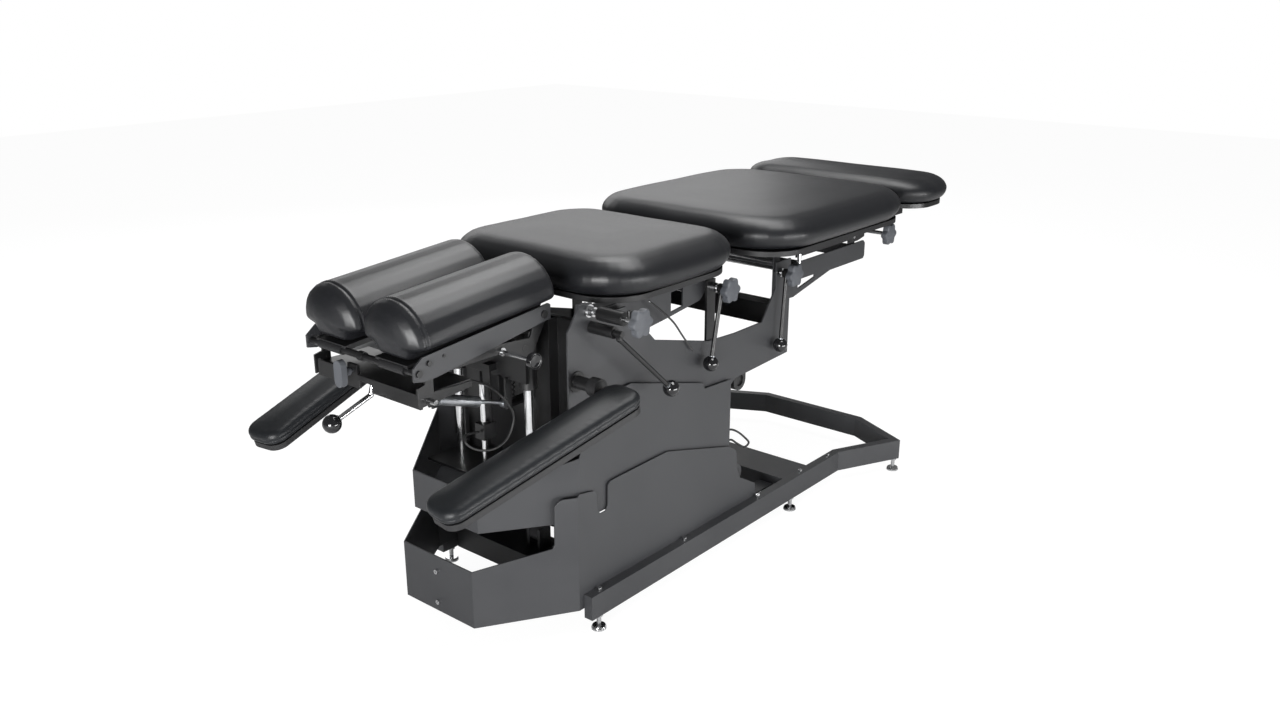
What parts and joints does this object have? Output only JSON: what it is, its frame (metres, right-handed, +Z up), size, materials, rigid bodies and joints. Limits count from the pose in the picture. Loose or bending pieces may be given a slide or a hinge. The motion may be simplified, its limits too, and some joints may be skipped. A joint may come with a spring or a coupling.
{
  "type": "chiropractic table",
  "caption": "Stationary chiropractic table with a scissor lift, a tilting split head section, drop chest and pelvic sections, a sliding leg cushion and hinged armrests.",
  "frame": {"origin": "centre of the bounding box in plan, on the floor under the levelling feet", "axes": "+X from the head end to the foot end, -Y the side with the levers and star knobs, +Z up"},
  "size_m": [1.9095, 0.7488, 0.7978],
  "materials": {
    "black_paint": "satin black powder coat",
    "dark_paint": "satin black paint on inner parts",
    "vinyl": "fine grained black upholstery vinyl",
    "cable": "matt black cable jacket",
    "bright": "bright plated steel",
    "spring": "dark spring steel",
    "grey_plastic": "matt grey moulding",
    "black_plastic": "gloss black moulding",
    "inlet": "matt black moulding",
    "board": "satin black coated board"
  },
  "bodies": {
    "base": {"base_skirt": "black_paint", "side_rails": "black_paint", "rear_loop": "black_paint", "cross_beams": "dark_paint", "levelling_feet": "bright", "frame_screws": "bright", "power_inlet": "inlet"},
    "lift": {"upper_skirt": "black_paint", "side_plates": "black_paint", "lift_tracks": "dark_paint", "mast_frame": "dark_paint", "guide_rods": "bright", "cross_tubes": "dark_paint", "hinge_pins": "bright", "control_cable": "cable", "pelvic_arms": "black_paint", "balance_spring": "spring"},
    "scissor_outer_pair": {"scissor_outer": "dark_paint"},
    "scissor_inner_pair": {"scissor_inner": "dark_paint"},
    "actuator_case": {"actuator_body": "grey_plastic"},
    "actuator_ram": {"actuator_rod": "bright"},
    "carriage": {"head_carriage": "dark_paint", "release_cable": "cable"},
    "head_lower": {"head_lower_frame": "dark_paint"},
    "gas_cylinder": {"gas_spring_body": "bright"},
    "gas_piston": {"gas_spring_rod": "bright"},
    "head_lever": {"head_lever_rod": "bright", "head_lever_ball": "black_plastic"},
    "tilt_grip": {"tilt_handle": "grey_plastic"},
    "side_screw": {"side_knob_shaft": "bright", "side_knob": "black_plastic"},
    "head_upper": {"head_upper_frame": "black_paint", "head_crossbar": "dark_paint"},
    "head_near": {"head_cushion_near": "vinyl", "head_board_near": "board"},
    "head_far": {"head_cushion_far": "vinyl", "head_board_far": "board"},
    "armrest_near": {"armrest_pad_near": "vinyl", "armrest_board_near": "board"},
    "armrest_far": {"armrest_pad_far": "vinyl", "armrest_board_far": "board"},
    "chest_subframe": {"chest_frame": "black_paint", "chest_rods": "bright"},
    "chest": {"chest_board": "board", "chest_cushion": "vinyl"},
    "chest_lever": {"chest_lever_rod": "dark_paint", "chest_lever_ball": "black_plastic"},
    "lumbar_lever": {"lumbar_lever_rod": "dark_paint", "lumbar_lever_ball": "black_plastic"},
    "pelvic_lever": {"pelvic_lever_rod": "dark_paint", "pelvic_lever_ball": "black_plastic"},
    "pelvic": {"pelvic_board": "board", "pelvic_pins": "bright", "pelvic_cushion": "vinyl"},
    "leg": {"leg_slide": "dark_paint", "leg_cushion": "vinyl"},
    "chest_star": {"chest_knob": "grey_plastic"},
    "lumbar_star": {"lumbar_knob": "grey_plastic"},
    "pelvic_star": {"pelvic_knob": "grey_plastic"},
    "leg_star": {"leg_knob": "grey_plastic"}
  },
  "joints": [
    {"name": "lift_slide", "type": "slide", "parent": "base", "child": "lift", "axis": [0, 0, 1], "range_m": [-0.16, 0.03]},
    {"name": "scissor_outer_hinge", "type": "hinge", "parent": "base", "child": "scissor_outer_pair", "pos_m": [0.03875, 0, 0.16], "axis": [0, 1, 0], "range_deg": [-20, 4]},
    {"name": "scissor_inner_hinge", "type": "hinge", "parent": "lift", "child": "scissor_inner_pair", "pos_m": [0.03875, 0, 0.4], "axis": [0, -1, 0], "range_deg": [-20, 4]},
    {"name": "actuator_hinge", "type": "hinge", "parent": "base", "child": "actuator_case", "pos_m": [-0.43525, 0, 0.123], "axis": [0, -1, 0], "range_deg": [-11, 2.5]},
    {"name": "actuator_slide", "type": "slide", "parent": "actuator_case", "child": "actuator_ram", "axis": [0.847, 0, 0.5315], "range_m": [-0.064, 0.013]},
    {"name": "head_height_slide", "type": "slide", "parent": "lift", "child": "carriage", "axis": [0, 0, 1], "range_m": [-0.02, 0.07], "deforming": ["balance_spring"]},
    {"name": "head_tilt_hinge", "type": "hinge", "parent": "carriage", "child": "head_lower", "pos_m": [-0.60525, 0, 0.628], "axis": [0, -1, 0], "range_deg": [-10, 25]},
    {"name": "gas_spring_hinge", "type": "hinge", "parent": "head_lower", "child": "gas_cylinder", "pos_m": [-0.76725, -0.06, 0.55], "axis": [0, 1, 0], "range_deg": [-4, 9]},
    {"name": "gas_spring_slide", "type": "slide", "parent": "gas_cylinder", "child": "gas_piston", "axis": [-0.9492, 0, 0.3147], "range_m": [-0.024, 0.058]},
    {"name": "head_lever_hinge", "type": "hinge", "parent": "head_lower", "child": "head_lever", "pos_m": [-0.84325, 0.005, 0.591], "axis": [0, -1, 0], "range_deg": [0, 35]},
    {"name": "tilt_grip_turn", "type": "hinge", "parent": "head_lower", "child": "tilt_grip", "pos_m": [-0.86725, 0.041, 0.61], "axis": [1, 0, 0], "continuous": true},
    {"name": "side_screw_turn", "type": "hinge", "parent": "head_lower", "child": "side_screw", "pos_m": [-0.66625, -0.2, 0.637], "axis": [0, 1, 0], "continuous": true},
    {"name": "head_drop_hinge", "type": "hinge", "parent": "head_lower", "child": "head_upper", "pos_m": [-0.55725, 0, 0.686], "axis": [0, -1, 0], "range_deg": [0, 2.2]},
    {"name": "head_near_slide", "type": "slide", "parent": "head_upper", "child": "head_near", "axis": [0, -1, 0], "range_m": [0, 0.012]},
    {"name": "head_far_slide", "type": "slide", "parent": "head_upper", "child": "head_far", "axis": [0, 1, 0], "range_m": [0, 0.012]},
    {"name": "armrest_near_hinge", "type": "hinge", "parent": "lift", "child": "armrest_near", "pos_m": [-0.52525, -0.26, 0.552], "axis": [0, 1, 0], "range_deg": [-30, 15]},
    {"name": "armrest_far_hinge", "type": "hinge", "parent": "lift", "child": "armrest_far", "pos_m": [-0.52525, 0.26, 0.552], "axis": [0, 1, 0], "range_deg": [-30, 15]},
    {"name": "lumbar_drop_hinge", "type": "hinge", "parent": "lift", "child": "chest_subframe", "pos_m": [-0.48725, 0, 0.687], "axis": [0, 1, 0], "range_deg": [0, 1.7]},
    {"name": "thoracic_drop_hinge", "type": "hinge", "parent": "chest_subframe", "child": "chest", "pos_m": [-0.07725, 0, 0.668], "axis": [0, -1, 0], "range_deg": [0, 1.8]},
    {"name": "pelvic_drop_hinge", "type": "hinge", "parent": "lift", "child": "pelvic", "pos_m": [0.56875, 0, 0.652], "axis": [0, -1, 0], "range_deg": [0, 1.5]},
    {"name": "leg_slide_out", "type": "slide", "parent": "pelvic", "child": "leg", "axis": [1, 0, 0], "range_m": [0, 0.12]},
    {"name": "chest_lever_hinge", "type": "hinge", "parent": "lift", "child": "chest_lever", "pos_m": [-0.47925, -0.27, 0.652], "axis": [0, -1, 0], "range_deg": [0, 40]},
    {"name": "lumbar_lever_hinge", "type": "hinge", "parent": "lift", "child": "lumbar_lever", "pos_m": [-0.08125, -0.232, 0.652], "axis": [0, -1, 0], "range_deg": [-20, 45]},
    {"name": "pelvic_lever_hinge", "type": "hinge", "parent": "lift", "child": "pelvic_lever", "pos_m": [0.18475, -0.228, 0.634], "axis": [0, -1, 0], "range_deg": [-20, 45]},
    {"name": "chest_star_turn", "type": "hinge", "parent": "lift", "child": "chest_star", "pos_m": [-0.48725, -0.337, 0.687], "axis": [0, 1, 0], "continuous": true},
    {"name": "lumbar_star_turn", "type": "hinge", "parent": "lift", "child": "lumbar_star", "pos_m": [-0.08125, -0.253, 0.652], "axis": [0, 1, 0], "continuous": true},
    {"name": "pelvic_star_turn", "type": "hinge", "parent": "lift", "child": "pelvic_star", "pos_m": [0.18475, -0.249, 0.634], "axis": [0, 1, 0], "continuous": true},
    {"name": "leg_star_turn", "type": "hinge", "parent": "pelvic", "child": "leg_star", "pos_m": [0.60775, -0.267, 0.664], "axis": [0, 1, 0], "continuous": true}
  ],
  "couplings": [
    {"joint": "scissor_outer_hinge", "follows": "lift_slide", "rad_per_m": 2.14},
    {"joint": "scissor_inner_hinge", "follows": "lift_slide", "rad_per_m": 2.14},
    {"joint": "actuator_hinge", "follows": "lift_slide", "rad_per_m": 1.13},
    {"joint": "actuator_slide", "follows": "lift_slide", "ratio": 0.39},
    {"joint": "gas_spring_hinge", "follows": "head_tilt_hinge", "ratio": 0.317},
    {"joint": "gas_spring_slide", "follows": "head_tilt_hinge", "m_per_rad": 0.1301}
  ]
}
